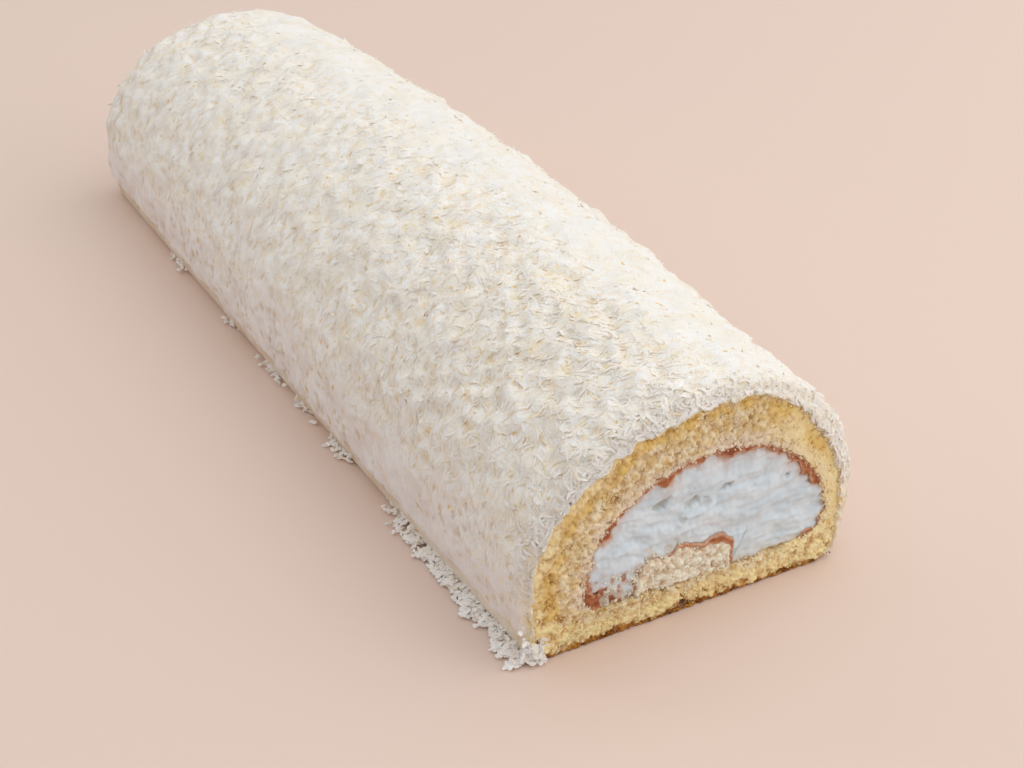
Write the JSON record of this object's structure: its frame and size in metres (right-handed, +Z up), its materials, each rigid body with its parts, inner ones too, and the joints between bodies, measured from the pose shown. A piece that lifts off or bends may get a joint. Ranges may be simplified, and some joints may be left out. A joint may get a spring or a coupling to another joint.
{
  "type": "coconut roulade cake",
  "caption": "Rolled sponge cake with a jam lining and a cream filling, iced and coated in shredded coconut, cut at one end and rounded at the other.",
  "frame": {"origin": "middle of the cake's footprint, on the surface that it stands on", "axes": "+Z up, +Y along the log from the cut face to the rounded end, +X to the right when facing the cut face"},
  "size_m": [0.1154, 0.3488, 0.0711],
  "materials": {
    "coconut": "matte",
    "sponge": "matte",
    "soaked_sponge": "matte",
    "cream": "satin",
    "jam": "glossy"
  },
  "bodies": {
    "root": {"coconut_icing": "coconut", "sponge_roll": "sponge", "cream_filling": "cream", "jam_lining": "jam", "jam_on_fold": "jam", "sponge_fold": "soaked_sponge"}
  },
  "joints": []
}
